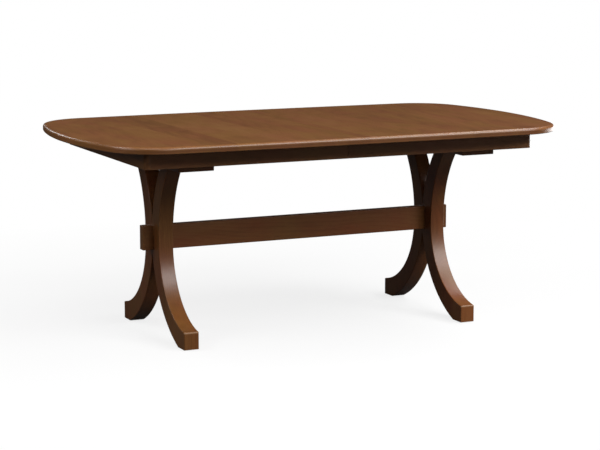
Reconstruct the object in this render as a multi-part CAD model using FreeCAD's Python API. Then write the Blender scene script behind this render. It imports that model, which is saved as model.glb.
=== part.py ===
import FreeCAD, Part
import math
import os
from FreeCAD import Vector

# Extending trestle dining table.
# Two trestles of back-to-back C legs are tied by one long stretcher.  The top is two halves that draw apart
# on geared slides, which stay centred on the base.  Millimetres, +X along the table, +Y to the back, +Z up,
# with the origin on the floor under the middle of the top.

# Top
table_height = 762.0
top_length = 1870.0
top_width = 1070.0
top_thick = 25.4
side_bow = 16.5             # how far a long edge stands out at its middle
end_bow = 99.5              # how far a short edge stands out at its middle
corner_radius = 203.0
upper_round = 11.0
lower_round = 4.0
seam_gap = 0.6

# Apron
apron_height = 62.5
apron_thick = 20.0
end_overhang = 162.0        # top beyond an end apron, at the middle of the edge
side_overhang = 109.0       # top beyond a side apron, at the middle of the edge
apron_gap = 1.6             # between the two halves' aprons when the tops meet
apron_corner_r = 22.0
apron_edge_r = 2.5
corner_block_leg = 70.0
corner_block_height = 44.0
glue_block_side = 20.0
glue_block_length = 70.0
glue_block_count = 3
glue_block_start = 110.0    # middle of the block that is nearest to the seam
glue_block_gap = 39.0       # from the last block to the corner block

# Trestles
trestle_inset = 207.0       # from the face of an end apron to the middle of a trestle
leg_width = 57.0
waist_z = 366.0             # narrowest height of a trestle, and the middle of the stretcher
waist_depth = 70.0          # from the joint of the two legs to the outer face at the waist
waist_straight = 18.0
leg_top_outer = 178.5
leg_top_inner = 102.0
inner_upper_r = 485.0
inner_lower_r = 412.0
fork_land = 12.5            # height over which the two legs meet, above and below the stretcher
foot_reach = 316.0
foot_height = 66.5
heel_reach = 250.0
leg_edge_r = 3.0
leg_run_out = 15.0          # straight stretch where a leg's curve meets something flat
same_place = 0.01           # points closer than this are one

# Stretcher
stretcher_height = 91.0
stretcher_thick = 34.0
stretcher_stub = 41.5       # end that stands out beyond a trestle
stretcher_edge_r = 2.0
dowel_r = 6.0
dowel_depth = 26.0          # how far a dowel enters each leg
dowel_spread = 22.0

# Glides under the feet
glide_r = 11.0
glide_thick = 3.0
glide_nail_r = 2.0
glide_nail_depth = 16.0

# Cleats between the legs and the slides
cleat_width = 134.0
cleat_end_gap = 28.0        # from a cleat's end to the apron
cleat_thick = 34.5
cleat_edge_r = 3.0

# Slides: a fixed beam between two rails, one rail on each half of the top
slide_space = 49.6          # from a cleat to the underside of the top
slide_inset = 110.0         # from a lock to the slide's middle
beam_width = 29.0
beam_stub = 33.0            # end beyond a cleat
beam_top_gap = 1.0
rail_width = 24.0
rail_end_gap = 98.0         # from a rail's end to the end apron
rail_under_gap = 1.6
rail_side_gap = 0.5
rail_relief = 1.0           # gap under the half that a rail only passes beneath
tongue_height = 12.0
tongue_reach = 8.0
tongue_drop = 9.0           # from the underside of the top to the tongue
tongue_gap = 0.4
travel = 305.0              # draw of each half
stop_r = 4.0
stop_drop = 13.0
stop_depth = 20.0
stop_gap = 0.6

# Rack and pinion
gear_module = 3.0
gear_teeth = 12
pressure_angle = math.radians(20.0)
pinion_addendum = 3.0
rack_addendum = 2.1
tip_gap = 0.5
gear_backlash = 0.6
rack_thick = 10.0
rack_back = 4.0
rack_rise = 10.0            # from a cleat to the rack's underside
rack_lead = 24.0            # rack beyond the pinion at both ends of the draw
gear_side_gap = 0.5
gear_swing_gap = 1.0
gear_pin_r = 4.0
gear_pin_top = 34.0         # pin length above the cleat
running_gap = 0.05

# Fasteners
screw_r = 2.5
screw_head_r = 5.0
screw_head = 3.5
screw_bite = 14.0
counterbore_r = 6.0
counterbore_depth = 16.0
bolt_r = 4.0
bolt_head_r = 8.0
bolt_head = 5.0
bolt_bite = 55.0
bolt_spread = 13.0
bolt_inset = 15.0           # from the inner corner of a leg's top
beam_screw_spread = 36.0
rail_screw_count = 4
rail_screw_start = 110.0
rail_screw_end = 51.0       # from the last screw to the rail's end

# Alignment pins across the seam
pin_r = 5.0
pin_reach = 12.0
pin_depth = 14.0
pin_tip = 2.0
pin_gap = 0.1
pin_inner_y = 150.0
pin_edge = 84.0             # from the outer pins to the top's edge

# Locks under the seam
lock_inset = 86.0           # from a side apron's inner face
lock_pivot_x = 24.0
lock_plate_thick = 3.0
lock_plate_length = 40.0
lock_plate_width = 60.0
lock_lever_thick = 4.5
lock_gap = 0.5
lock_hook_gap = 1.0
lock_rivet_r = 4.0
lock_rivet_head_r = 7.0
lock_rivet_head = 2.0
lock_hub_r = 11.0
lock_post_r = 4.0
lock_post_x = 17.0
lock_post_drop = 7.0
lock_hook_width = 7.0
lock_hook_start = 78.0      # degrees from +X, lever unlocked
lock_hook_sweep = 68.0
lock_arm_width = 11.0
lock_handle_length = 62.0
lock_handle_width = 13.0
lock_handle_turn = 215.0

# Levels and places that follow from the sizes above
X_AXIS = Vector(1, 0, 0)
Y_AXIS = Vector(0, 1, 0)
Z_AXIS = Vector(0, 0, 1)
under_z = table_height - top_thick
cleat_top_z = under_z - slide_space
leg_top_z = cleat_top_z - cleat_thick
apron_reach_x = top_length / 2 - end_overhang
apron_reach_y = top_width / 2 - side_overhang
apron_inner_x = apron_reach_x - apron_thick
apron_inner_y = apron_reach_y - apron_thick
seam_x = seam_gap / 2
trestle_x = apron_reach_x - trestle_inset
fork_upper_z = waist_z + stretcher_height / 2 + fork_land
fork_lower_z = waist_z - stretcher_height / 2 - fork_land
stretcher_reach = trestle_x + leg_width / 2 + stretcher_stub
cleat_reach = apron_inner_y - cleat_end_gap
beam_reach = trestle_x + cleat_width / 2 + beam_stub
rail_outer_x = apron_inner_x - rail_end_gap
bolt_y = leg_top_inner + bolt_inset
lock_y = apron_inner_y - lock_inset
slide_y = lock_y - slide_inset
rail_inner = beam_width / 2 + rail_side_gap
rail_outer = rail_inner + rail_width
rack_z = cleat_top_z + rack_rise
pitch_r = gear_module * gear_teeth / 2
rack_root = pitch_r + pinion_addendum + tip_gap
rack_seat = rack_root + rack_back
rack_far = travel + rack_lead
rail_far_x = rack_far + rack_back


def box(x0, x1, y0, y1, z0, z1):
    return Part.makeBox(x1 - x0, y1 - y0, z1 - z0, Vector(x0, y0, z0))


def rod(radius, start, direction, length):
    return Part.makeCylinder(radius, length, start, direction)


def turned(shape, x=0.0, y=0.0):
    """The same piece after a half turn about the upright line through (x, y)."""
    copy = shape.copy()
    copy.rotate(Vector(x, y, 0), Z_AXIS, 180)
    return copy


def eased(shape, radius, chosen):
    """Round the edges whose middle points the test accepts."""
    edges = [edge for edge in shape.Edges if chosen(edge.CenterOfMass)]
    return shape.makeFillet(radius, edges)


def prism(edges, direction):
    return Part.Face(Part.Wire(edges)).extrude(direction)


def arc_of_radius(start, end, radius):
    """Arc between two points, bulging to the right of the way from start to end in the YZ plane."""
    chord = end - start
    half = chord.Length / 2
    rise = radius - math.sqrt(radius ** 2 - half ** 2)
    right = Vector(0, chord.z, -chord.y).normalize()
    return Part.Arc(start, (start + end) / 2 + right * rise, end).toShape()


def arc_from_upright(start, end):
    """Arc in the YZ plane that leaves start straight up or down and reaches end."""
    out = end.y - start.y
    rise = end.z - start.z
    radius = (out ** 2 + rise ** 2) / (2 * out)
    half_turn = math.atan2(abs(rise), radius - out) / 2
    middle = Vector(
        start.x,
        start.y + radius * (1 - math.cos(half_turn)),
        start.z + math.copysign(radius * math.sin(half_turn), rise),
    )
    return Part.Arc(start, middle, end).toShape()


# Top


def bow_radius(half_length, bow):
    return (half_length ** 2 + bow ** 2) / (2 * bow)


def top_outline():
    """Right half of the top in plan: bowed front, round corner, bowed end, round corner, bowed back."""
    side_r = bow_radius(top_length / 2, side_bow)
    end_r = bow_radius(top_width / 2, end_bow)
    side_centre = Vector(0, side_r - top_width / 2, 0)
    end_centre = Vector(top_length / 2 - end_r, 0, 0)
    to_end = end_centre - side_centre
    side_gap = side_r - corner_radius
    end_gap = end_r - corner_radius
    along = (side_gap ** 2 - end_gap ** 2 + to_end.Length ** 2) / (2 * to_end.Length)
    across = math.sqrt(side_gap ** 2 - along ** 2)
    unit = Vector(to_end).normalize()
    normal = Vector(-unit.y, unit.x, 0)
    corner_centre = side_centre + unit * along + normal * across
    side_tangent = side_centre + (corner_centre - side_centre).normalize() * side_r
    end_tangent = end_centre + (corner_centre - end_centre).normalize() * end_r
    bisector = (side_tangent + end_tangent - corner_centre * 2).normalize()
    corner_middle = corner_centre + bisector * corner_radius
    seam_y = side_centre.y - math.sqrt(side_r ** 2 - seam_x ** 2)
    seam_point = Vector(seam_x, seam_y, 0)
    side_middle_x = (seam_x + side_tangent.x) / 2
    side_middle = Vector(side_middle_x, side_centre.y - math.sqrt(side_r ** 2 - side_middle_x ** 2), 0)
    tip = Vector(top_length / 2, 0, 0)

    def back(point):
        return Vector(point.x, -point.y, 0)

    return [
        Part.Arc(seam_point, side_middle, side_tangent).toShape(),
        Part.Arc(side_tangent, corner_middle, end_tangent).toShape(),
        Part.Arc(end_tangent, tip, back(end_tangent)).toShape(),
        Part.Arc(back(end_tangent), back(corner_middle), back(side_tangent)).toShape(),
        Part.Arc(back(side_tangent), back(side_middle), back(seam_point)).toShape(),
        Part.LineSegment(back(seam_point), seam_point).toShape(),
    ]


def top_blank():
    slab = prism(top_outline(), Z_AXIS * top_thick)
    slab.translate(Z_AXIS * under_z)

    def upper(centre):
        return centre.x > seam_gap and centre.z > table_height - seam_gap

    def lower(centre):
        return centre.x > seam_gap and centre.z < under_z + seam_gap

    return eased(eased(slab, upper_round, upper), lower_round, lower)


def pin_heights():
    """Places of the alignment pins along the seam, at the middle of the top's thickness."""
    outer_y = top_width / 2 - pin_edge
    rows = (-outer_y, -pin_inner_y, pin_inner_y, outer_y)
    return [Vector(0, y, under_z + top_thick / 2) for y in rows]


def rail_screw_places(y):
    """Screws along a left half's rail, on the side of the rail away from the rack."""
    line = y + (rack_seat + rail_outer) / 2
    step = (rail_outer_x - rail_screw_end - rail_screw_start) / (rail_screw_count - 1)
    return [Vector(-rail_screw_start - i * step, line, 0) for i in range(rail_screw_count)]


def pilot_holes():
    holes = []
    for y in (-slide_y, slide_y):
        for place in rail_screw_places(y):
            holes.append(rod(screw_r, Vector(place.x, place.y, under_z), Z_AXIS, screw_bite))
    return holes


def top_left():
    slab = turned(top_blank())
    holes = pilot_holes()
    for place in pin_heights():
        holes.append(rod(pin_r, place - X_AXIS * (seam_x + pin_depth), X_AXIS, pin_depth))
    return slab.cut(Part.makeCompound(holes))


def top_right():
    slab = top_blank()
    holes = [turned(hole) for hole in pilot_holes()]
    for place in pin_heights():
        holes.append(rod(pin_r + pin_gap, place + X_AXIS * seam_x, X_AXIS, pin_depth))
    return slab.cut(Part.makeCompound(holes))


def alignment_pins():
    pins = []
    for place in pin_heights():
        start = place - X_AXIS * (seam_x + pin_depth)
        shank = rod(pin_r, start, X_AXIS, pin_depth + pin_reach - pin_tip)
        tip_start = start + X_AXIS * (pin_depth + pin_reach - pin_tip)
        tip = Part.makeCone(pin_r, pin_r - pin_tip / 2, pin_tip, tip_start, X_AXIS)
        pins.append(shank.fuse(tip).removeSplitter())
    return Part.makeCompound(pins)


# Apron


def apron_corner():
    """Front corner of the right half in plan: inner corner, and the round's start, middle and end."""
    inner = Vector(apron_inner_x, -apron_inner_y, under_z - apron_height)
    centre = Vector(apron_reach_x - apron_corner_r, apron_corner_r - apron_reach_y, inner.z)
    towards_corner = Vector(1, -1, 0).normalize()
    middle = centre + towards_corner * apron_corner_r
    return inner, centre - Y_AXIS * apron_corner_r, middle, centre + X_AXIS * apron_corner_r


def part_of_round(start, end, centre):
    """Arc of the apron's rounded corner, the short way between two of its points."""
    halfway = ((start + end) / 2 - centre).normalize()
    return Part.Arc(start, centre + halfway * apron_corner_r, end).toShape()


def mirrored(shape, normal):
    return shape.mirror(Vector(0, 0, 0), normal)


def side_apron():
    """Front apron of the right half, mitred into the rounded corner and eased along the lower edge."""
    inner, start, middle, _ = apron_corner()
    centre = start + Y_AXIS * apron_corner_r
    seam_front = Vector(apron_gap / 2, start.y, inner.z)
    seam_back = Vector(apron_gap / 2, inner.y, inner.z)
    edges = [
        Part.LineSegment(seam_front, start).toShape(),
        part_of_round(start, middle, centre),
        Part.LineSegment(middle, inner).toShape(),
        Part.LineSegment(inner, seam_back).toShape(),
        Part.LineSegment(seam_back, seam_front).toShape(),
    ]

    def lower(point):
        outside = point.y < -apron_inner_y - apron_thick / 2 and point.x > apron_thick
        return outside and abs(point.z - inner.z) < same_place

    return eased(prism(edges, Z_AXIS * apron_height), apron_edge_r, lower)


def end_apron():
    """End apron of the right half, mitred at both ends and eased along the lower edge."""
    inner, _, middle, end = apron_corner()
    centre = end - X_AXIS * apron_corner_r
    front = [Part.LineSegment(inner, middle).toShape(), part_of_round(middle, end, centre)]
    back = [mirrored(edge, Y_AXIS) for edge in reversed(front)]
    straights = [
        Part.LineSegment(end, Vector(end.x, -end.y, end.z)).toShape(),
        Part.LineSegment(Vector(inner.x, -inner.y, inner.z), inner).toShape(),
    ]
    edges = front + straights[:1] + back + straights[1:]

    def lower(point):
        outside = point.x > apron_inner_x + apron_thick / 2
        return outside and abs(point.z - inner.z) < same_place

    return eased(prism(edges, Z_AXIS * apron_height), apron_edge_r, lower)


def corner_block():
    """Triangular block in the front corner of the right half, with its long face towards the middle."""
    corner = Vector(apron_inner_x, -apron_inner_y, under_z - corner_block_height)
    points = [corner, corner + Y_AXIS * corner_block_leg, corner - X_AXIS * corner_block_leg, corner]
    return Part.Face(Part.makePolygon(points)).extrude(Z_AXIS * corner_block_height)


def glue_blocks():
    """Blocks that tie the right half's side aprons to the top."""
    blocks = []
    half = glue_block_length / 2
    last = apron_inner_x - corner_block_leg - glue_block_gap - half
    step = (last - glue_block_start) / (glue_block_count - 1)
    for i in range(glue_block_count):
        x = glue_block_start + i * step
        block = box(x - half, x + half, -apron_inner_y, glue_block_side - apron_inner_y,
                    under_z - glue_block_side, under_z)
        blocks += [block, mirrored(block, Y_AXIS)]
    return Part.makeCompound(blocks)


# Trestles


def run_out(circle, end, stretch, normal):
    """Where an arc turns straight, and where that straight meets the plane through the arc's old end."""
    point = circle.value(end + stretch)
    way = circle.tangent(end + stretch)[0]
    reach = (circle.value(end) - point).dot(normal) / way.dot(normal)
    return point, point + way * reach


def with_run_outs(arc, first_normal, last_normal):
    """Edges of an arc that runs straight over a short stretch at the ends that have a plane to meet."""
    circle = arc.Curve
    first = arc.FirstParameter
    last = arc.LastParameter
    stretch = leg_run_out / circle.Radius
    lead = []
    tail = []
    if first_normal:
        point, far = run_out(circle, first, stretch, first_normal)
        lead = [Part.LineSegment(far, point).toShape()]
        first += stretch
    if last_normal:
        point, far = run_out(circle, last, -stretch, last_normal)
        tail = [Part.LineSegment(point, far).toShape()]
        last -= stretch
    return lead + [circle.toShape(first, last)] + tail


def straight_between(before, after):
    """Line from the end of one run of edges to the start of the next."""
    start = before[-1].valueAt(before[-1].LastParameter)
    end = after[0].valueAt(after[0].FirstParameter)
    return [Part.LineSegment(start, end).toShape()]


def back_leg_blank():
    """C leg of the right trestle's back: outer curve in two arcs, inner face flat at the waist.

    The arcs run out straight before they meet the cleat, the floor and the other leg.
    """
    x = trestle_x - leg_width / 2

    def at(y, z):
        return Vector(x, y, z)

    waist_high = at(waist_depth, waist_z)
    waist_low = at(waist_depth, waist_z - waist_straight)
    top_outer = at(leg_top_outer, leg_top_z)
    top_inner = at(leg_top_inner, leg_top_z)
    fork_high = at(0, fork_upper_z)
    fork_low = at(0, fork_lower_z)
    heel = at(heel_reach, glide_thick)
    toe_low = at(foot_reach, glide_thick)
    toe_high = at(foot_reach, foot_height)
    outer_upper = with_run_outs(arc_from_upright(waist_high, top_outer), None, Z_AXIS)
    inner_upper = with_run_outs(arc_of_radius(top_inner, fork_high, inner_upper_r), Z_AXIS, Y_AXIS)
    inner_lower = with_run_outs(arc_of_radius(fork_low, heel, inner_lower_r), Y_AXIS, Z_AXIS)
    toe = [Part.LineSegment(toe_low, toe_high).toShape()]
    outer_lower = arc_from_upright(waist_low, toe_high)
    waist = [Part.LineSegment(waist_low, waist_high).toShape()]
    top = straight_between(outer_upper, inner_upper)
    joint = straight_between(inner_upper, inner_lower)
    sole = straight_between(inner_lower, toe)
    edges = outer_upper + top + inner_upper + joint + inner_lower + sole + toe + [outer_lower] + waist
    blank = prism(edges, X_AXIS * leg_width)

    def shown(centre):
        if abs(centre.x - trestle_x) < leg_edge_r:
            return abs(centre.y - foot_reach) < same_place and abs(centre.z - foot_height) < same_place
        against = centre.y < same_place or abs(centre.z - leg_top_z) < same_place
        return not (against or abs(centre.z - glide_thick) < same_place)

    return eased(blank, leg_edge_r, shown)


def dowel_places():
    return [Vector(trestle_x, 0, waist_z + dz) for dz in (-dowel_spread, dowel_spread)]


def glide_place():
    """Middle of a back foot's sole on the right trestle."""
    return Vector(trestle_x, (heel_reach + foot_reach) / 2, 0)


def bolt_places():
    return [Vector(trestle_x + dx, bolt_y, 0) for dx in (-bolt_spread, bolt_spread)]


def back_leg():
    """Back leg of the right trestle with its stretcher notch, dowel, bolt and nail holes."""
    half = stretcher_height / 2
    notch = box(trestle_x - leg_width, trestle_x + leg_width, -stretcher_thick / 2, stretcher_thick / 2,
                waist_z - half, waist_z + half)
    cuts = [notch]
    for place in dowel_places():
        cuts.append(rod(dowel_r, place, Y_AXIS, stretcher_thick / 2 + dowel_depth))
    for place in bolt_places():
        cuts.append(rod(bolt_r, Vector(place.x, place.y, leg_top_z - bolt_bite), Z_AXIS, bolt_bite))
    nail_base = glide_place() + Z_AXIS * glide_thick
    cuts.append(rod(glide_nail_r, nail_base, Z_AXIS, glide_nail_depth))
    return back_leg_blank().cut(Part.makeCompound(cuts))


def at_all_feet(shape):
    """One copy for each leg, from the piece at the right trestle's back leg."""
    back_right = shape
    front_right = turned(shape, trestle_x)
    return [back_right, front_right, turned(back_right), turned(front_right)]


def foot_glides():
    disc = rod(glide_r, glide_place(), Z_AXIS, glide_thick)
    nail = rod(glide_nail_r, glide_place() + Z_AXIS * glide_thick, Z_AXIS, glide_nail_depth)
    return Part.makeCompound(at_all_feet(disc.fuse(nail).removeSplitter()))


def stretcher():
    half = stretcher_height / 2
    bar = box(-stretcher_reach, stretcher_reach, -stretcher_thick / 2, stretcher_thick / 2,
              waist_z - half, waist_z + half)
    bar = bar.makeFillet(stretcher_edge_r, bar.Edges)
    holes = []
    for place in dowel_places():
        hole = rod(dowel_r, place - Y_AXIS * stretcher_thick, Y_AXIS, 2 * stretcher_thick)
        holes += [hole, turned(hole)]
    return bar.cut(Part.makeCompound(holes))


def trestle_dowels():
    dowels = []
    reach = stretcher_thick / 2 + dowel_depth
    for place in dowel_places():
        dowel = rod(dowel_r, place - Y_AXIS * reach, Y_AXIS, 2 * reach)
        dowels += [dowel, turned(dowel)]
    return Part.makeCompound(dowels)


# Cleats


def beam_screw_places():
    places = []
    for y in (-slide_y, slide_y):
        for dx in (-beam_screw_spread, beam_screw_spread):
            places.append(Vector(trestle_x + dx, y, 0))
    return places


def right_cleat():
    half = cleat_width / 2
    board = box(trestle_x - half, trestle_x + half, -cleat_reach, cleat_reach, leg_top_z, cleat_top_z)
    board = eased(board, cleat_edge_r, lambda centre: centre.z < cleat_top_z - cleat_edge_r)
    cuts = []
    for place in bolt_places():
        foot = Vector(place.x, place.y, leg_top_z)
        hole = rod(bolt_r, foot, Z_AXIS, cleat_thick)
        recess = rod(bolt_head_r, Vector(place.x, place.y, cleat_top_z - bolt_head), Z_AXIS, bolt_head)
        for cut in (hole, recess):
            cuts += [cut, turned(cut, trestle_x)]
    for place in beam_screw_places():
        foot = Vector(place.x, place.y, leg_top_z)
        cuts.append(rod(screw_r, foot, Z_AXIS, cleat_thick))
        cuts.append(rod(counterbore_r, foot, Z_AXIS, counterbore_depth))
    return board.cut(Part.makeCompound(cuts))


def leg_bolts():
    bolts = []
    for place in bolt_places():
        foot = Vector(place.x, place.y, leg_top_z - bolt_bite)
        neck = bolt_bite + cleat_thick - bolt_head
        shank = rod(bolt_r, foot, Z_AXIS, neck)
        head = rod(bolt_head_r, foot + Z_AXIS * neck, Z_AXIS, bolt_head)
        bolts += at_all_feet(shank.fuse(head).removeSplitter())
    return Part.makeCompound(bolts)


def round_screw(place, seat_z, length):
    """Screw that points up, with its head below the seat."""
    seat = Vector(place.x, place.y, seat_z)
    head = rod(screw_head_r, seat - Z_AXIS * screw_head, Z_AXIS, screw_head)
    return head.fuse(rod(screw_r, seat, Z_AXIS, length)).removeSplitter()


def beam_screws():
    seat_z = leg_top_z + counterbore_depth
    screws = []
    for place in beam_screw_places():
        screw = round_screw(place, seat_z, cleat_top_z - seat_z + screw_bite)
        screws += [screw, turned(screw)]
    return Part.makeCompound(screws)


# Slides


def tongue_top_z():
    return under_z - tongue_drop


def beam(y):
    """Fixed beam on the cleats, grooved on both sides, with a pocket for the pinion."""
    half = beam_width / 2
    top_z = under_z - beam_top_gap
    bar = box(-beam_reach, beam_reach, y - half, y + half, cleat_top_z, top_z)
    groove_floor = rail_inner - tongue_reach - tongue_gap
    low = tongue_top_z() - tongue_height - tongue_gap
    high = tongue_top_z() + tongue_gap
    cuts = [
        box(-beam_reach, beam_reach, y + groove_floor, y + half, low, high),
        box(-beam_reach, beam_reach, y - half, y - groove_floor, low, high),
        rod(pitch_r + pinion_addendum + gear_swing_gap, Vector(0, y, rack_z), Z_AXIS, rack_thick),
        rod(gear_pin_r, Vector(0, y, cleat_top_z), Z_AXIS, gear_pin_top),
    ]
    for place in beam_screw_places():
        if place.y * y > 0:
            hole = rod(screw_r, Vector(place.x, y, cleat_top_z), Z_AXIS, screw_bite)
            cuts += [hole, turned(hole, 0, y)]
    return bar.cut(Part.makeCompound(cuts))


def gear_pins():
    pins = [rod(gear_pin_r, Vector(0, y, cleat_top_z), Z_AXIS, gear_pin_top) for y in (-slide_y, slide_y)]
    return Part.makeCompound(pins)


def stop_x():
    """Place of the left half's stops, which meet the left cleat at the end of the draw."""
    return -(trestle_x - cleat_width / 2 - travel - stop_r - stop_gap)


def left_rail(y):
    """Left half's rail, behind its beam: tongue in the beam's groove, seat for the rack under it."""
    bottom = cleat_top_z + rail_under_gap
    body = box(-rail_outer_x, rail_far_x, y + rail_inner, y + rail_outer, bottom, under_z)
    tongue_low = tongue_top_z() - tongue_height
    tongue = box(-rail_outer_x, rail_far_x, y + rail_inner - tongue_reach, y + rail_inner,
                 tongue_low, tongue_top_z())
    body = body.fuse(tongue).removeSplitter()
    cuts = [
        box(-seam_x, rail_far_x, y, y + rail_outer, under_z - rail_relief, under_z),
        box(-rack_lead, rack_far, y, y + rack_seat, rack_z, rack_z + rack_thick),
        rod(stop_r, stop_place(y), Z_AXIS, stop_drop + stop_depth),
    ]
    for place in rail_screw_places(y):
        foot = Vector(place.x, place.y, bottom)
        cuts.append(rod(screw_r, foot, Z_AXIS, slide_space))
        cuts.append(rod(counterbore_r, foot, Z_AXIS, counterbore_depth))
    return body.cut(Part.makeCompound(cuts))


def stop_place(y):
    low = cleat_top_z + rail_under_gap - stop_drop
    return Vector(stop_x(), y + (rail_inner + rail_outer) / 2, low)


def slide_stops():
    stops = [rod(stop_r, stop_place(y), Z_AXIS, stop_drop + stop_depth) for y in (-slide_y, slide_y)]
    return Part.makeCompound(stops)


def rail_screws():
    bottom = cleat_top_z + rail_under_gap
    seat_z = bottom + counterbore_depth
    screws = []
    for y in (-slide_y, slide_y):
        for place in rail_screw_places(y):
            screws.append(round_screw(place, seat_z, under_z - seat_z + screw_bite))
    return Part.makeCompound(screws)


# Rack and pinion


def left_rack(y):
    """Straight rack with its teeth towards the pinion and one tooth on the pinion's centre line."""
    pitch = math.pi * gear_module
    tooth = pitch / 2 - gear_backlash
    slope = math.tan(pressure_angle)
    tip_y = y + pitch_r - rack_addendum
    root_y = y + rack_root
    half_tip = tooth / 2 - rack_addendum * slope
    half_root = tooth / 2 + (rack_root - pitch_r) * slope
    first = -math.floor((rack_lead - half_root) / pitch)
    last = math.floor((rack_far - half_root) / pitch)
    points = [Vector(-rack_lead, y + rack_seat, rack_z), Vector(-rack_lead, root_y, rack_z)]
    for i in range(first, last + 1):
        x = i * pitch
        points.append(Vector(x - half_root, root_y, rack_z))
        points.append(Vector(x - half_tip, tip_y, rack_z))
        points.append(Vector(x + half_tip, tip_y, rack_z))
        points.append(Vector(x + half_root, root_y, rack_z))
    points += [Vector(rack_far, root_y, rack_z), Vector(rack_far, y + rack_seat, rack_z)]
    points.append(points[0])
    return Part.Face(Part.makePolygon(points)).extrude(Z_AXIS * rack_thick)


def involute(angle):
    return math.tan(angle) - angle


def pinion(y):
    """Involute pinion on its upright pin, with a gap between teeth on each rack's centre line."""
    base_r = pitch_r * math.cos(pressure_angle)
    tip_r = pitch_r + pinion_addendum
    root_r = pitch_r - rack_addendum - tip_gap
    pitch_angle = 2 * math.pi / gear_teeth
    low_z = rack_z + gear_side_gap

    def at(radius, angle):
        return Vector(radius * math.cos(angle), y + radius * math.sin(angle), low_z)

    def half_angle(radius):
        lift = math.acos(min(1.0, base_r / radius))
        return pitch_angle / 4 + involute(pressure_angle) - involute(lift)

    flank_radii = (base_r, (base_r + tip_r) / 2, tip_r)
    edges = []
    for i in range(gear_teeth):
        centre = (i + 0.5) * pitch_angle
        rising = [at(r, centre - half_angle(r)) for r in flank_radii]
        falling = [at(r, centre + half_angle(r)) for r in reversed(flank_radii)]
        root_start = at(root_r, centre - half_angle(base_r))
        root_end = at(root_r, centre + half_angle(base_r))
        next_root = at(root_r, centre + pitch_angle - half_angle(base_r))
        edges += [
            Part.LineSegment(root_start, rising[0]).toShape(),
            Part.Arc(*rising).toShape(),
            Part.Arc(rising[-1], at(tip_r, centre), falling[0]).toShape(),
            Part.Arc(*falling).toShape(),
            Part.LineSegment(falling[-1], root_end).toShape(),
            Part.Arc(root_end, at(root_r, centre + pitch_angle / 2), next_root).toShape(),
        ]
    thick = rack_thick - 2 * gear_side_gap
    bore = rod(gear_pin_r + running_gap, Vector(0, y, low_z), Z_AXIS, thick)
    return prism(edges, Z_AXIS * thick).cut(bore)


# Locks


def lock_plates():
    """Plates under the left half, each with the hole for its lever's rivet."""
    plates = []
    z = under_z - lock_plate_thick
    for y in (-lock_y, lock_y):
        half = lock_plate_width / 2
        plate = box(-lock_pivot_x - lock_plate_length / 2, -lock_pivot_x + lock_plate_length / 2,
                    y - half, y + half, z, under_z)
        plates.append(plate.cut(rod(lock_rivet_r, Vector(-lock_pivot_x, y, z), Z_AXIS, lock_plate_thick)))
    return Part.makeCompound(plates)


def lever_low_z():
    return under_z - lock_plate_thick - lock_gap - lock_lever_thick


def lock_rivets():
    rivets = []
    low = lever_low_z() - lock_gap
    for y in (-lock_y, lock_y):
        shank = rod(lock_rivet_r, Vector(-lock_pivot_x, y, low), Z_AXIS, under_z - low)
        head_base = Vector(-lock_pivot_x, y, low - lock_rivet_head)
        head = rod(lock_rivet_head_r, head_base, Z_AXIS, lock_rivet_head)
        rivets.append(shank.fuse(head).removeSplitter())
    return Part.makeCompound(rivets)


def lock_posts():
    """Posts that the levers' hooks take hold of, each set in a keeper."""
    low = under_z - lock_plate_thick - lock_post_drop
    length = lock_post_drop + lock_plate_thick
    return [rod(lock_post_r, Vector(lock_post_x, y, low), Z_AXIS, length) for y in (-lock_y, lock_y)]


def lock_keepers():
    """Plates under the right half, each with the hole for its post."""
    half = lock_plate_width / 2
    z = under_z - lock_plate_thick
    keepers = []
    for y, post in zip((-lock_y, lock_y), lock_posts()):
        plate = box(seam_x, seam_x + lock_plate_length, y - half, y + half, z, under_z)
        keepers.append(plate.cut(post))
    return Part.makeCompound(keepers)


def lock_lever(y):
    """Lever at rest, unlocked: its hook is an arc about the rivet that swings round the keeper's post."""
    low = lever_low_z()
    pivot = Vector(-lock_pivot_x, y, low)
    inner_r = lock_pivot_x + lock_post_x + lock_post_r + lock_hook_gap
    outer_r = inner_r + lock_hook_width
    thick = lock_lever_thick

    def spoke(length, width, turn):
        bar = Part.makeBox(length, width, thick, pivot - Y_AXIS * (width / 2))
        bar.rotate(pivot, Z_AXIS, turn)
        return bar

    hook = Part.makeCylinder(outer_r, thick, pivot, Z_AXIS, lock_hook_sweep)
    hook = hook.cut(rod(inner_r, pivot, Z_AXIS, thick))
    hook.rotate(pivot, Z_AXIS, lock_hook_start)
    arm_turn = lock_hook_start + lock_hook_sweep - math.degrees(lock_arm_width / 2 / inner_r)
    arm = spoke(inner_r + lock_hook_width / 2, lock_arm_width, arm_turn)
    handle = spoke(lock_handle_length, lock_handle_width, lock_handle_turn)
    turn = math.radians(lock_handle_turn)
    tip = pivot + Vector(math.cos(turn), math.sin(turn), 0) * lock_handle_length
    knob = rod(lock_handle_width / 2, tip, Z_AXIS, thick)
    hub = rod(lock_hub_r, pivot, Z_AXIS, thick)
    lever = hub.multiFuse([arm, hook, handle, knob]).removeSplitter()
    return lever.cut(rod(lock_rivet_r + running_gap, pivot, Z_AXIS, thick))


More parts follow.
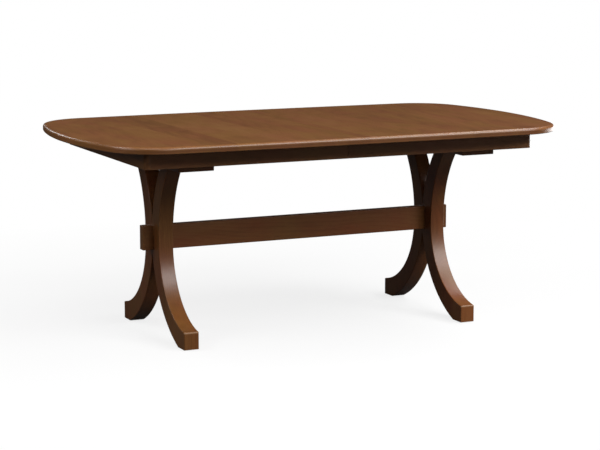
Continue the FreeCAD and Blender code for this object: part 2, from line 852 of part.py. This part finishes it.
def all_pieces():
    """Every piece by its node's name."""
    back_right, front_right, front_left, back_left = at_all_feet(back_leg())
    front_apron = side_apron()
    back_apron = mirrored(front_apron, Y_AXIS)
    front_block = corner_block()
    back_block = mirrored(front_block, Y_AXIS)
    cleat = right_cleat()
    pieces = {
        "leg_front_left": front_left,
        "leg_back_left": back_left,
        "leg_front_right": front_right,
        "leg_back_right": back_right,
        "stretcher": stretcher(),
        "trestle_dowels": trestle_dowels(),
        "foot_glides": foot_glides(),
        "cleat_left": turned(cleat),
        "cleat_right": cleat,
        "leg_bolts": leg_bolts(),
        "beam_screws": beam_screws(),
        "gear_pins": gear_pins(),
        "top_left": top_left(),
        "top_right": top_right(),
        "alignment_pins": alignment_pins(),
        "apron_front_left": turned(back_apron),
        "apron_back_left": turned(front_apron),
        "apron_end_left": turned(end_apron()),
        "apron_front_right": front_apron,
        "apron_back_right": back_apron,
        "apron_end_right": end_apron(),
        "corner_block_front_left": turned(back_block),
        "corner_block_back_left": turned(front_block),
        "corner_block_front_right": front_block,
        "corner_block_back_right": back_block,
        "glue_blocks_left": turned(glue_blocks()),
        "glue_blocks_right": glue_blocks(),
        "rail_screws_left": rail_screws(),
        "rail_screws_right": turned(rail_screws()),
        "slide_stops_left": slide_stops(),
        "slide_stops_right": turned(slide_stops()),
        "lock_plates": lock_plates(),
        "lock_rivets": lock_rivets(),
        "lock_keepers": lock_keepers(),
        "lock_posts": Part.makeCompound(lock_posts()),
    }
    for place, y in (("front", -slide_y), ("back", slide_y)):
        pieces["beam_" + place] = beam(y)
        pieces["pinion_" + place] = pinion(y)
        pieces["rail_" + place + "_left"] = left_rail(y)
        pieces["rail_" + place + "_right"] = turned(left_rail(y), 0, y)
        pieces["rack_" + place + "_left"] = left_rack(y)
        pieces["rack_" + place + "_right"] = turned(left_rack(y), 0, y)
    for place, y in (("front", -lock_y), ("back", lock_y)):
        pieces["lock_lever_" + place] = lock_lever(y)
    return pieces


os.makedirs("parts", exist_ok=True)
for node, shape in all_pieces().items():
    shape.exportStep("parts/" + node + ".step")
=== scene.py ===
import math

import bpy
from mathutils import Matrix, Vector

# Extending trestle dining table in dark stained hardwood under satin lacquer.
# Every solid comes from the frame; this script gives each one its finish and sets the studio.

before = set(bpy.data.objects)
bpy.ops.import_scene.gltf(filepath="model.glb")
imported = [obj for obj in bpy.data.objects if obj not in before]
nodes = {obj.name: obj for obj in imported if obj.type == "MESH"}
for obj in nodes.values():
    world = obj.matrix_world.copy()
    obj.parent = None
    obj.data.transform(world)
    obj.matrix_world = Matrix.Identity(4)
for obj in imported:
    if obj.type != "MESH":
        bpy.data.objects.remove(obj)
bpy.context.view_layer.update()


def extent(node_name, axis):
    """Least and greatest place of a solid along an axis."""
    places = [getattr(vertex.co, axis) for vertex in nodes[node_name].data.vertices]
    return min(places), max(places)


# Levels and reaches of the table, in metres
top_level = extent("top_left", "z")[1]
apron_low = extent("apron_front_left", "z")[0]
foot_reach = extent("leg_back_left", "y")[1]
foot_level = 0.0665         # upper edge of a foot's end
arris_depth = 0.011         # height of the top's rounded upper edge

# Camera, at the photograph's viewing angle
camera_place = (-2.99071, -6.46991, 1.52729)
camera_yaw = 0.43390
camera_pitch = 0.16095
camera_lens = 113.486
camera_sensor = 36.0
camera_sight = 400.0

# Colours, linear.  A set of stains has the dark one, the red and the gold one that the middle runs
# between, and the light one.
stain_dark = (0.090, 0.030, 0.0080, 1.0)
stain_red = (0.216, 0.079, 0.0270, 1.0)
stain_gold = (0.212, 0.091, 0.0245, 1.0)
stain_light = (0.290, 0.130, 0.0480, 1.0)
# Paler still: a painted highlight on the foot's upper edge, partly stain rubbed off it
stain_rubbed_highlight = (0.420, 0.240, 0.1250, 1.0)
top_stains = (stain_dark, stain_red, stain_gold, stain_light)
base_stains = (
    (0.090, 0.028, 0.0072, 1.0),
    (0.212, 0.063, 0.0190, 1.0),
    (0.206, 0.084, 0.0220, 1.0),
    (0.285, 0.122, 0.0430, 1.0),
)
slide_dark = (0.330, 0.190, 0.085, 1.0)
slide_light = (0.600, 0.420, 0.240, 1.0)
zinc_dull = (0.42, 0.42, 0.41, 1.0)
zinc_bright = (0.70, 0.71, 0.72, 1.0)
steel_dull = (0.30, 0.30, 0.31, 1.0)
steel_bright = (0.56, 0.56, 0.57, 1.0)
brass_dull = (0.42, 0.27, 0.09, 1.0)
brass_bright = (0.72, 0.52, 0.22, 1.0)
nylon_ivory = (0.62, 0.58, 0.49, 1.0)
nylon_scuffed = (0.36, 0.33, 0.28, 1.0)
floor_dark = (0.05, 0.05, 0.05, 1.0)
floor_pale = (0.92, 0.92, 0.92, 1.0)
white = (1.0, 1.0, 1.0, 1.0)

# Widths of the boards that the pieces are cut from, in metres
top_board = 0.118
leg_board = 0.12
wide_board = 0.3
slide_board = 0.2

# Middle and spread of the mix between a dark, a middle and a light stain
top_tone = (0.49, 0.22)
plain_tone = (0.5, 0.28)

# Weight of each part of the figure in a stained board's tone
tone_weights = {"Board tone": 0.5, "Clouds": 2.2, "Streaks": 1.3, "Fibres": 1.5}
ring_weight = -0.4
ring_makeup = 0.1       # lifts the tone again by about what the rings take

# Depth of relief in the finishes, in metres
wood_relief = 0.0002
fine_relief = 0.00005

# Studio: share of the white floor and background that mirrored rays see, and the background's strength
# for all rays but those and the camera's
mirror_share = 0.02
ambient = 0.01

# Soft lights: name, place, point that each faces, width and height, all in metres, and power in watts
soft_lights = (
    ("front_soft_light", (2.2, -4.0, 3.9), (0.1, 0.0, 0.4), (4.7, 2.55), 292.0),
    ("right_soft_light", (3.65, -0.3, 5.2), (0.5, 0.0, 0.4), (4.35, 1.65), 160.0),
    ("left_soft_light", (-2.4, 0.4, 2.65), (-0.8, -0.2, 0.7), (0.8, 1.3), 24.0),
    ("high_left_light", (-1.6, -1.6, 2.95), (-0.7, -0.4, 0.7), (1.0, 0.7), 18.0),
    ("low_left_light", (-2.5, -0.6, 1.35), (-0.57, 0.0, 0.4), (1.2, 0.6), 6.5),
    ("low_front_light", (2.65, -3.5, 2.2), (0.4, 0.0, 0.4), (1.5, 0.6), 15.0),
    ("lower_front_light", (3.0, -3.9, 1.3), (0.5, 0.0, 0.5), (1.2, 0.4), 3.5),
    ("front_left_light", (-1.2, -4.4, 1.3), (-0.4, 0.0, 0.4), (1.6, 0.6), 4.5),
    ("far_left_light", (-1.35, 3.8, 2.0), (-0.93, 0.0, 0.76), (0.9, 0.7), 11.0),
    ("low_back_light", (3.6, 1.1, 0.38), (0.9, -0.2, 0.6), (3.6, 0.7), 42.0),
)


# Small helpers for node trees


def add(tree, kind, sockets=None, **settings):
    """A node of that kind with its settings; each socket gets a value or a link."""
    node = tree.nodes.new("ShaderNode" + kind)
    for name, value in settings.items():
        setattr(node, name, value)
    for name, value in (sockets or {}).items():
        if isinstance(value, bpy.types.NodeSocket):
            tree.links.new(value, node.inputs[name])
        else:
            node.inputs[name].default_value = value
    return node


def calc(tree, operation, *values):
    return add(tree, "Math", dict(enumerate(values)), operation=operation).outputs[0]


def plus(tree, first, second):
    return calc(tree, "ADD", first, second)


def minus(tree, first, second):
    return calc(tree, "SUBTRACT", first, second)


def times(tree, first, second):
    return calc(tree, "MULTIPLY", first, second)


def over(tree, first, second):
    return calc(tree, "DIVIDE", first, second)


def vector_calc(tree, operation, first, second):
    return add(tree, "VectorMath", {0: first, 1: second}, operation=operation).outputs[0]


def length_of(tree, vector):
    return add(tree, "VectorMath", {0: vector}, operation="LENGTH").outputs["Value"]


def axes_of(tree, vector):
    return add(tree, "SeparateXYZ", {"Vector": vector}).outputs


def spread(tree, value, low, high, to_low=0.0, to_high=1.0):
    """A value stretched from one range to another and held at its ends."""
    sockets = {"Value": value, "From Min": low, "From Max": high, "To Min": to_low, "To Max": to_high}
    return add(tree, "MapRange", sockets, clamp=True).outputs["Result"]


def blend_colours(tree, share, first, second):
    mix = add(tree, "Mix", {0: share, 6: first, 7: second}, data_type="RGBA")
    return mix.outputs[2]


def object_place(tree):
    return add(tree, "TexCoord").outputs["Object"]


def scaled(tree, place, factors):
    return add(tree, "Mapping", {"Vector": place, "Scale": factors}).outputs["Vector"]


def noise(tree, place, scale, detail, roughness=0.5):
    sockets = {"Vector": place, "Scale": scale, "Detail": detail, "Roughness": roughness}
    return add(tree, "TexNoise", sockets).outputs


def drawn_noise(tree, place, scales, detail, roughness=0.5):
    """Noise with a scale of its own along each axis."""
    return noise(tree, scaled(tree, place, scales), 1.0, detail, roughness)


def new_group(name, inputs, outputs):
    """An empty shader group with its sockets; gives the group, its inputs and a way to fill its outputs."""
    group = bpy.data.node_groups.new(name, "ShaderNodeTree")
    for label, kind, value in inputs:
        socket = group.interface.new_socket(label, in_out="INPUT", socket_type="NodeSocket" + kind)
        if value is not None:
            socket.default_value = value
    for label in outputs:
        group.interface.new_socket(label, in_out="OUTPUT", socket_type="NodeSocketFloat")
    way_in = group.nodes.new("NodeGroupInput")
    way_out = group.nodes.new("NodeGroupOutput")
    return group, way_in.outputs, way_out.inputs


def link_all(tree, inputs, values):
    for label, value in values.items():
        tree.links.new(value, inputs[label])


def placed(tree, group, sockets):
    return add(tree, "Group", sockets, node_tree=group).outputs


# Effects that several finishes share


def wood_figure_group():
    """Figure of glued-up boards: grain along X, boards side by side along Y, depth along Z.

    Each board gets a number of its own, which shifts its figure and sets its tone.  Rings are circles
    round a heart below the board, bent by slow noise.  Fibres and pores are noise drawn out along X.
    """
    most_shift = (3.0, 0.06, 0.05)
    most_bend = (0.0, 0.055, 0.055)
    heart_depth = 0.05
    heart_slope = 0.035
    ring_peak = 0.82        # share of a ring's width at which it is darkest
    fibre_height = 0.35     # against a pore's depth of 1
    group, given, result = new_group(
        "wood_figure",
        [("Place", "Vector", None), ("Board width", "Float", 0.11), ("Ring width", "Float", 0.007),
         ("Seed", "Float", 0.0)],
        ["Board tone", "Clouds", "Streaks", "Rings", "Fibres", "Pores", "Hue", "Height"],
    )
    place = given["Place"]
    width = given["Board width"]
    straight = axes_of(group, place)
    number = plus(group, over(group, straight["Y"], width), given["Seed"])
    index = calc(group, "FLOOR", number)
    chance = add(group, "TexWhiteNoise", {"W": index}, noise_dimensions="1D").outputs
    moved = vector_calc(group, "ADD", place, vector_calc(group, "MULTIPLY", chance["Color"], most_shift))
    slow = drawn_noise(group, moved, (0.9, 5.0, 5.0), detail=2.0)["Color"]
    bent = vector_calc(group, "ADD", moved, vector_calc(group, "MULTIPLY", slow, most_bend))

    curved = axes_of(group, bent)
    from_middle = times(group, minus(group, calc(group, "FRACT", number), 0.5), width)
    side = plus(group, from_middle, minus(group, curved["Y"], straight["Y"]))
    depth = plus(group, plus(group, curved["Z"], heart_depth), times(group, straight["X"], heart_slope))
    radius = length_of(group, add(group, "CombineXYZ", {"X": side, "Y": depth}).outputs[0])
    year = calc(group, "FRACT", over(group, radius, given["Ring width"]))
    rise = spread(group, year, 0.0, ring_peak)
    fall = spread(group, year, ring_peak, 1.0, 1.0, 0.0)

    fibres = drawn_noise(group, bent, (9.0, 330.0, 330.0), detail=3.0, roughness=0.6)["Fac"]
    pore_noise = drawn_noise(group, bent, (38.0, 800.0, 800.0), detail=1.0)["Fac"]
    pores = spread(group, pore_noise, 0.62, 0.74)
    hue_noise = drawn_noise(group, moved, (4.0, 7.0, 7.0), detail=2.0)["Fac"]
    link_all(group, result, {
        "Board tone": chance["Value"],
        "Clouds": drawn_noise(group, moved, (1.6, 4.5, 4.5), detail=3.0, roughness=0.55)["Fac"],
        "Streaks": drawn_noise(group, bent, (2.6, 34.0, 34.0), detail=2.0)["Fac"],
        "Rings": times(group, calc(group, "POWER", rise, 2.0), fall),
        "Fibres": fibres,
        "Pores": pores,
        "Hue": spread(group, hue_noise, 0.36, 0.64),
        "Height": minus(group, times(group, fibres, fibre_height), pores),
    })
    return group


def lacquer_group():
    """Sprayed and rubbed lacquer: slow patches of gloss, fine haze, and a faint orange-peel relief."""
    haze_weight = 0.5
    middle = 0.75           # of the patches and the haze together
    group, given, result = new_group(
        "rubbed_lacquer",
        [("Place", "Vector", None), ("Roughness", "Float", 0.3), ("Unevenness", "Float", 0.08)],
        ["Roughness", "Height"],
    )
    place = given["Place"]
    patches = noise(group, place, scale=7.0, detail=3.0, roughness=0.6)["Fac"]
    haze = noise(group, place, scale=160.0, detail=2.0, roughness=0.6)["Fac"]
    both = plus(group, patches, times(group, haze, haze_weight))
    offset = times(group, minus(group, both, middle), given["Unevenness"])
    link_all(group, result, {
        "Roughness": plus(group, given["Roughness"], offset),
        "Height": noise(group, place, scale=240.0, detail=1.0, roughness=0.4)["Fac"],
    })
    return group


def level_band_group():
    """Mask of a band of heights: it rises from Low to Middle and falls to High, broken by noise.

    It shows in full where the distance from the middle of the table's width is at least Reach, and
    fades in over the length Fade before that.
    """
    group, given, result = new_group(
        "level_band",
        [("Place", "Vector", None), ("Low", "Float", 0.0), ("Middle", "Float", 0.5), ("High", "Float", 1.0),
         ("Breaks", "Float", 0.5), ("Reach", "Float", 0.0), ("Fade", "Float", 0.003)],
        ["Mask"],
    )
    place = axes_of(group, given["Place"])
    up = spread(group, place["Z"], given["Low"], given["Middle"])
    down = spread(group, place["Z"], given["Middle"], given["High"], 1.0, 0.0)
    aside = calc(group, "ABSOLUTE", place["Y"])
    beyond = spread(group, aside, minus(group, given["Reach"], given["Fade"]), given["Reach"])
    band_mask = times(group, times(group, up, down), beyond)
    break_noise = noise(group, given["Place"], scale=26.0, detail=4.0, roughness=0.65)["Fac"]
    broken = times(group, given["Breaks"], spread(group, break_noise, 0.35, 0.65))
    link_all(group, result, {"Mask": times(group, band_mask, minus(group, 1.0, broken))})
    return group


def metal_marks_group():
    """Tool and handling marks on metal: lines drawn along X, grains of plating and dull spots."""
    line_stretch = (0.04, 1.0, 1.0)
    spot_depth = 0.5
    group, given, result = new_group(
        "metal_marks",
        [("Place", "Vector", None), ("Line scale", "Float", 900.0)],
        ["Lines", "Grains", "Spots", "Height"],
    )
    place = given["Place"]
    lines = noise(group, scaled(group, place, line_stretch), given["Line scale"], detail=2.0)["Fac"]
    cells = add(group, "TexVoronoi", {"Vector": place, "Scale": 420.0}).outputs["Color"]
    spot_noise = noise(group, place, scale=90.0, detail=4.0, roughness=0.6)["Fac"]
    spots = spread(group, spot_noise, 0.55, 0.7)
    link_all(group, result, {
        "Lines": lines,
        "Grains": axes_of(group, cells)["X"],
        "Spots": spots,
        "Height": minus(group, lines, times(group, spots, spot_depth)),
    })
    return group


wood_figure = wood_figure_group()
rubbed_lacquer = lacquer_group()
level_band = level_band_group()
metal_marks = metal_marks_group()


# Finishes


def new_finish(name):
    """A material with only its shader; gives the material, tree and shader."""
    material = bpy.data.materials.new(name)
    material.use_nodes = True
    tree = material.node_tree
    return material, tree, tree.nodes["Principled BSDF"]


def dress(tree, shader, colour, roughness, height, strength, depth):
    """Colour, roughness and relief led to the shader."""
    bump = add(tree, "Bump", {"Height": height, "Strength": strength, "Distance": depth})
    surface = {"Base Color": colour, "Roughness": roughness, "Normal": bump.outputs["Normal"]}
    link_all(tree, shader.inputs, surface)


# Turns that bring the grain, which a figure has along X, to run along an axis of the table
quarter = math.pi / 2
grain_turn = {
    "x": (0.0, 0.0, 0.0),
    "x_upright": (quarter, 0.0, 0.0),
    "y": (0.0, 0.0, quarter),
    "y_upright": (quarter, 0.0, quarter),
    "z": (0.0, quarter, 0.0),
    "z_side": (0.0, quarter, quarter),
}
seeds_per_metre = 7.0       # how fast the boards' numbers change with the offset along X


def wood_place(tree, grain, offset):
    """Object coordinates, and the same moved by the offset and turned so that the grain lies along X."""
    place = object_place(tree)
    sockets = {"Vector": place, "Location": offset, "Rotation": grain_turn[grain]}
    return place, add(tree, "Mapping", sockets, vector_type="TEXTURE").outputs["Vector"]


def band(low, middle, high, stain, share, breaks, reach=0.0, fade=0.003):
    """A range of heights, the stain that shows there and its share.

    A paler band on a rounded edge is a painted highlight over stain thinned there, and a darker band on the
    top's flat is painted shade over the open end grain's deeper stain.
    """
    sockets = {"Low": low, "Middle": middle, "High": high, "Breaks": breaks, "Reach": reach, "Fade": fade}
    return sockets, stain, share


def stained_wood(name, grain, offset, board_width, tone=plain_tone, bands=(), stains=top_stains):
    """Brown stain in the wood's figure, under satin lacquer."""
    satin = 0.34
    pore_stain = 0.55
    pore_dulling = 0.12
    figure_height = 0.4     # against the lacquer's own relief
    material, tree, shader = new_finish(name)
    place, along = wood_place(tree, grain, offset)
    seed = offset[0] * seeds_per_metre
    figure = placed(tree, wood_figure, {"Place": along, "Board width": board_width, "Seed": seed})
    film = placed(tree, rubbed_lacquer, {"Place": place, "Roughness": satin})

    middle, reach = tone
    part = {label: times(tree, minus(tree, figure[label], 0.5), reach * weight)
            for label, weight in tone_weights.items()}
    rings = times(tree, figure["Rings"], reach * ring_weight)
    broad = plus(tree, part["Board tone"], part["Clouds"])
    fine = plus(tree, plus(tree, rings, part["Streaks"]), part["Fibres"])
    share = plus(tree, plus(tree, broad, fine), middle + reach * ring_makeup)

    dark, red, gold, light = stains
    middle_stain = blend_colours(tree, figure["Hue"], red, gold)
    lower = blend_colours(tree, spread(tree, share, 0.0, 0.5), dark, middle_stain)
    colour = blend_colours(tree, spread(tree, share, 0.5, 1.0), lower, light)
    colour = blend_colours(tree, times(tree, figure["Pores"], pore_stain), colour, dark)
    # The bands paint highlights on rounded edges and shade on the top's edge flat into the colour, partly
    # real stain differences
    for sockets, band_colour, band_share in bands:
        mask = placed(tree, level_band, {"Place": place, **sockets})["Mask"]
        colour = blend_colours(tree, times(tree, mask, band_share), colour, band_colour)

    roughness = plus(tree, film["Roughness"], times(tree, figure["Pores"], pore_dulling))
    height = plus(tree, times(tree, figure["Height"], figure_height), film["Height"])
    dress(tree, shader, colour, roughness, height, strength=0.25, depth=wood_relief)
    shader.inputs["Specular IOR Level"].default_value = 0.5
    return material


def bare_wood(name, grain, offset):
    """Pale unstained hardwood of the slides and blocks, sanded and waxed."""
    pore_stain = 0.4
    material, tree, shader = new_finish(name)
    place, along = wood_place(tree, grain, offset)
    seed = offset[0] * seeds_per_metre
    figure = placed(tree, wood_figure, {
        "Place": along, "Board width": slide_board, "Ring width": 0.005, "Seed": seed})
    film = placed(tree, rubbed_lacquer, {"Place": place, "Roughness": 0.55, "Unevenness": 0.12})
    share = plus(tree, times(tree, figure["Clouds"], 1.2), figure["Board tone"])
    for label, weight in (("Fibres", 0.6), ("Rings", -0.7)):
        share = plus(tree, share, times(tree, figure[label], weight))
    colour = blend_colours(tree, spread(tree, share, 0.5, 1.7), slide_dark, slide_light)
    colour = blend_colours(tree, times(tree, figure["Pores"], pore_stain), colour, slide_dark)
    dress(tree, shader, colour, film["Roughness"], figure["Height"], strength=0.4, depth=wood_relief)
    shader.inputs["Specular IOR Level"].default_value = 0.4
    return material


def plain_metal(name, dull, bright, roughness):
    """Metal whose colour runs from dull to bright over its grains and lines, with dull spots."""
    material, tree, shader = new_finish(name)
    marks = placed(tree, metal_marks, {"Place": object_place(tree), "Line scale": 900.0})
    share = plus(tree, times(tree, marks["Grains"], 0.5), times(tree, marks["Lines"], 0.5))
    colour = blend_colours(tree, share, dull, bright)
    colour = blend_colours(tree, times(tree, marks["Spots"], 0.5), colour, dull)
    rough = plus(tree, times(tree, marks["Spots"], 0.2), times(tree, marks["Lines"], 0.15))
    rough = plus(tree, rough, roughness)
    dress(tree, shader, colour, rough, marks["Height"], strength=0.3, depth=fine_relief)
    shader.inputs["Metallic"].default_value = 1.0
    return material


def glide_plastic(name):
    """Moulded nylon, ivory, with a fine matt texture and scuffs from the floor."""
    material, tree, shader = new_finish(name)
    marks = placed(tree, metal_marks, {"Place": object_place(tree), "Line scale": 300.0})
    colour = blend_colours(tree, marks["Spots"], nylon_ivory, nylon_scuffed)
    rough = spread(tree, marks["Lines"], 0.0, 1.0, 0.4, 0.6)
    dress(tree, shader, colour, rough, marks["Grains"], strength=0.2, depth=fine_relief)
    return material


# Finish of each solid


def finish(node_name, material):
    mesh = nodes[node_name].data
    mesh.materials.clear()
    mesh.materials.append(material)


top_bands = (
    # the rounded upper edge: paler, a painted highlight over stain thinned there
    band(low=top_level - arris_depth, middle=top_level - 0.3 * arris_depth, high=top_level - 0.0004,
         stain=stain_light, share=0.5, breaks=0.8),
    # the flat below it, along the long sides: darker, painted shade over the end grain's deeper stain
    band(low=top_level - 0.027, middle=top_level - 0.016, high=top_level - 0.5 * arris_depth,
         stain=stain_dark, share=0.85, breaks=0.2, reach=0.52, fade=0.12),
)
apron_bands = (
    # the lower edge: paler, a painted highlight over stain thinned on the rounded edge
    band(low=apron_low - 0.002, middle=apron_low + 0.0005, high=apron_low + 0.004,
         stain=stain_light, share=0.5, breaks=0.8),
)
leg_bands = (
    # the upper edge of the foot's end: much paler, a painted highlight over stain rubbed off the edge
    band(low=foot_level - 0.007, middle=foot_level - 0.003, high=foot_level + 0.002,
         stain=stain_rubbed_highlight, share=0.9, breaks=0.4, reach=foot_reach - 0.004),
)
zinc = plain_metal("zinc_plate", zinc_dull, zinc_bright, roughness=0.28)
gear_steel = plain_metal("milled_steel", steel_dull, steel_bright, roughness=0.34)
brass = plain_metal("turned_brass", brass_dull, brass_bright, roughness=0.22)
nylon = glide_plastic("glide_nylon")

# The offsets say where in the figure a piece is cut; shift and step keep its twins from looking alike
for half, shift in (("left", 0.0), ("right", 1.7)):
    finish("top_" + half, stained_wood(
        "top_wood_" + half, "y", (shift, 0.3, 0.0), top_board, top_tone, top_bands))
    finish("apron_end_" + half, stained_wood(
        "apron_wood_end_" + half, "y_upright", (shift, 2.1, 0.4), wide_board, bands=apron_bands))
    for side, step in (("front", 0.0), ("back", 0.9)):
        ends = side + "_" + half
        finish("apron_" + ends, stained_wood(
            "apron_wood_" + ends, "x_upright", (shift + step, 0.7, step), wide_board, bands=apron_bands))
        finish("leg_" + ends, stained_wood(
            "leg_wood_" + ends, "z_side", (shift + step, step, 1.3), leg_board,
            bands=leg_bands, stains=base_stains))
        finish("corner_block_" + ends, bare_wood("block_wood_" + ends, "x", (shift, step, 0.2)))
        finish("rail_" + ends, bare_wood("rail_wood_" + ends, "x", (shift + 0.4, step, 0.6)))
        finish("rack_" + ends, gear_steel)
    finish("glue_blocks_" + half, bare_wood("glue_block_wood_" + half, "x", (shift + 0.8, 0.1, 0.0)))
    finish("cleat_" + half, stained_wood(
        "cleat_wood_" + half, "y", (shift + 0.5, 0.9, 0.3), wide_board, stains=base_stains))
    finish("rail_screws_" + half, zinc)
    finish("slide_stops_" + half, bare_wood("stop_wood_" + half, "z", (shift, 0.0, 0.9)))
finish("stretcher", stained_wood(
    "stretcher_wood", "x_upright", (2.6, 0.2, 0.5), wide_board, stains=base_stains))
for side, shift in (("front", 1.5), ("back", 1.2)):
    finish("beam_" + side, bare_wood("beam_wood_" + side, "x", (shift, 0.5, 0.1)))
    finish("pinion_" + side, gear_steel)
    finish("lock_lever_" + side, zinc)
finish("trestle_dowels", bare_wood("dowel_wood", "y", (0.2, 0.3, 0.0)))
finish("foot_glides", nylon)
finish("gear_pins", gear_steel)
finish("alignment_pins", brass)
for metal_node in ("leg_bolts", "beam_screws", "lock_plates", "lock_rivets", "lock_keepers", "lock_posts"):
    finish(metal_node, zinc)


# Studio


def new_object(name, data):
    thing = bpy.data.objects.new(name, data)
    bpy.context.scene.collection.objects.link(thing)
    return thing


def white_share(tree):
    """How much of the white a ray sees: the camera's all of it, mirrored ones a little, others none."""
    path = add(tree, "LightPath").outputs
    mirrored = calc(tree, "MAXIMUM", path["Is Glossy Ray"], path["Is Transmission Ray"])
    return calc(tree, "MAXIMUM", path["Is Camera Ray"], times(tree, mirrored, mirror_share))


def floor_plane(half_side):
    """A flat floor, white to the camera and dark to most other rays, which is clear from below.

    Part of it is lit near the table, so that it keeps the table's shadow; further off it only glows.
    """
    near, far = 0.6, 2.6
    near_glow = 0.8
    mesh = bpy.data.meshes.new("floor")
    corners = [(x * half_side, y * half_side, 0.0) for x, y in ((-1, -1), (1, -1), (1, 1), (-1, 1))]
    mesh.from_pydata(corners, [], [(0, 1, 2, 3)])
    material = bpy.data.materials.new("pale_floor")
    material.use_nodes = True
    tree = material.node_tree
    tree.nodes.clear()
    seen = white_share(tree)
    colour = blend_colours(tree, seen, floor_dark, floor_pale)
    lit = add(tree, "BsdfDiffuse", {"Color": colour}).outputs[0]
    glow = add(tree, "Emission", {"Color": white, "Strength": 1.0}).outputs[0]
    distance = length_of(tree, object_place(tree))
    share = times(tree, seen, spread(tree, distance, near, far, near_glow, 1.0))
    above = add(tree, "MixShader", {0: share, 1: lit, 2: glow}).outputs[0]
    clear = add(tree, "BsdfTransparent").outputs[0]
    below = add(tree, "NewGeometry").outputs["Backfacing"]
    both = add(tree, "MixShader", {0: below, 1: above, 2: clear}).outputs[0]
    add(tree, "OutputMaterial", {"Surface": both})
    mesh.materials.append(material)
    return new_object("floor", mesh)


def soft_light(name, place, aim, size, power):
    """A rectangular soft light that faces a point; it isn't seen by the camera itself."""
    data = bpy.data.lights.new(name, "AREA")
    data.shape = "RECTANGLE"
    data.size, data.size_y = size
    data.energy = power
    lamp = new_object(name, data)
    lamp.location = place
    lamp.rotation_euler = (Vector(aim) - Vector(place)).to_track_quat("-Z", "Y").to_euler()
    lamp.visible_camera = False


floor_plane(150.0)
for values in soft_lights:
    soft_light(*values)

world = bpy.data.worlds.new("studio")
world.use_nodes = True
world_tree = world.node_tree
background = world_tree.nodes["Background"].inputs
background["Color"].default_value = white
strength = spread(world_tree, white_share(world_tree), 0.0, 1.0, ambient, 1.0)
world_tree.links.new(strength, background["Strength"])
bpy.context.scene.world = world

camera = new_object("camera", bpy.data.cameras.new("camera"))
camera.location = camera_place
camera.rotation_euler = (quarter - camera_pitch, 0.0, -camera_yaw)
camera.data.sensor_width = camera_sensor
camera.data.lens = camera_lens
camera.data.clip_end = camera_sight
bpy.context.scene.camera = camera
bpy.context.scene.view_settings.view_transform = "Standard"
